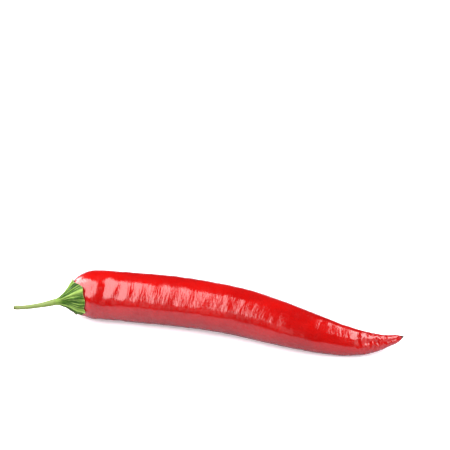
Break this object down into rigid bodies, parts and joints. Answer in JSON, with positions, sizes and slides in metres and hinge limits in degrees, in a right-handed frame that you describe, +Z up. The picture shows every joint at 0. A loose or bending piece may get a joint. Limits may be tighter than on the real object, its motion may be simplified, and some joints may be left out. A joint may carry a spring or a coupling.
{
  "type": "chilli pepper",
  "caption": "Long red chilli pepper lying on its side: a slender curved pod that tapers to a pointed tip, with a ribbed green calyx and a thin cut stem.",
  "frame": {"origin": "under the middle of the chilli's box, on the surface that it lies on", "axes": "+X from the cut end of the stem to the tip of the pod, +Z up"},
  "size_m": [0.1556, 0.0314, 0.0191],
  "materials": {
    "pod_skin": "glossy waxy red skin",
    "calyx_green": "satin leaf green with pale ribs and darker mottling",
    "stem_green": "satin yellow-green"
  },
  "bodies": {
    "root": {"pod": "pod_skin", "calyx": "calyx_green", "stem": "stem_green"}
  },
  "joints": []
}
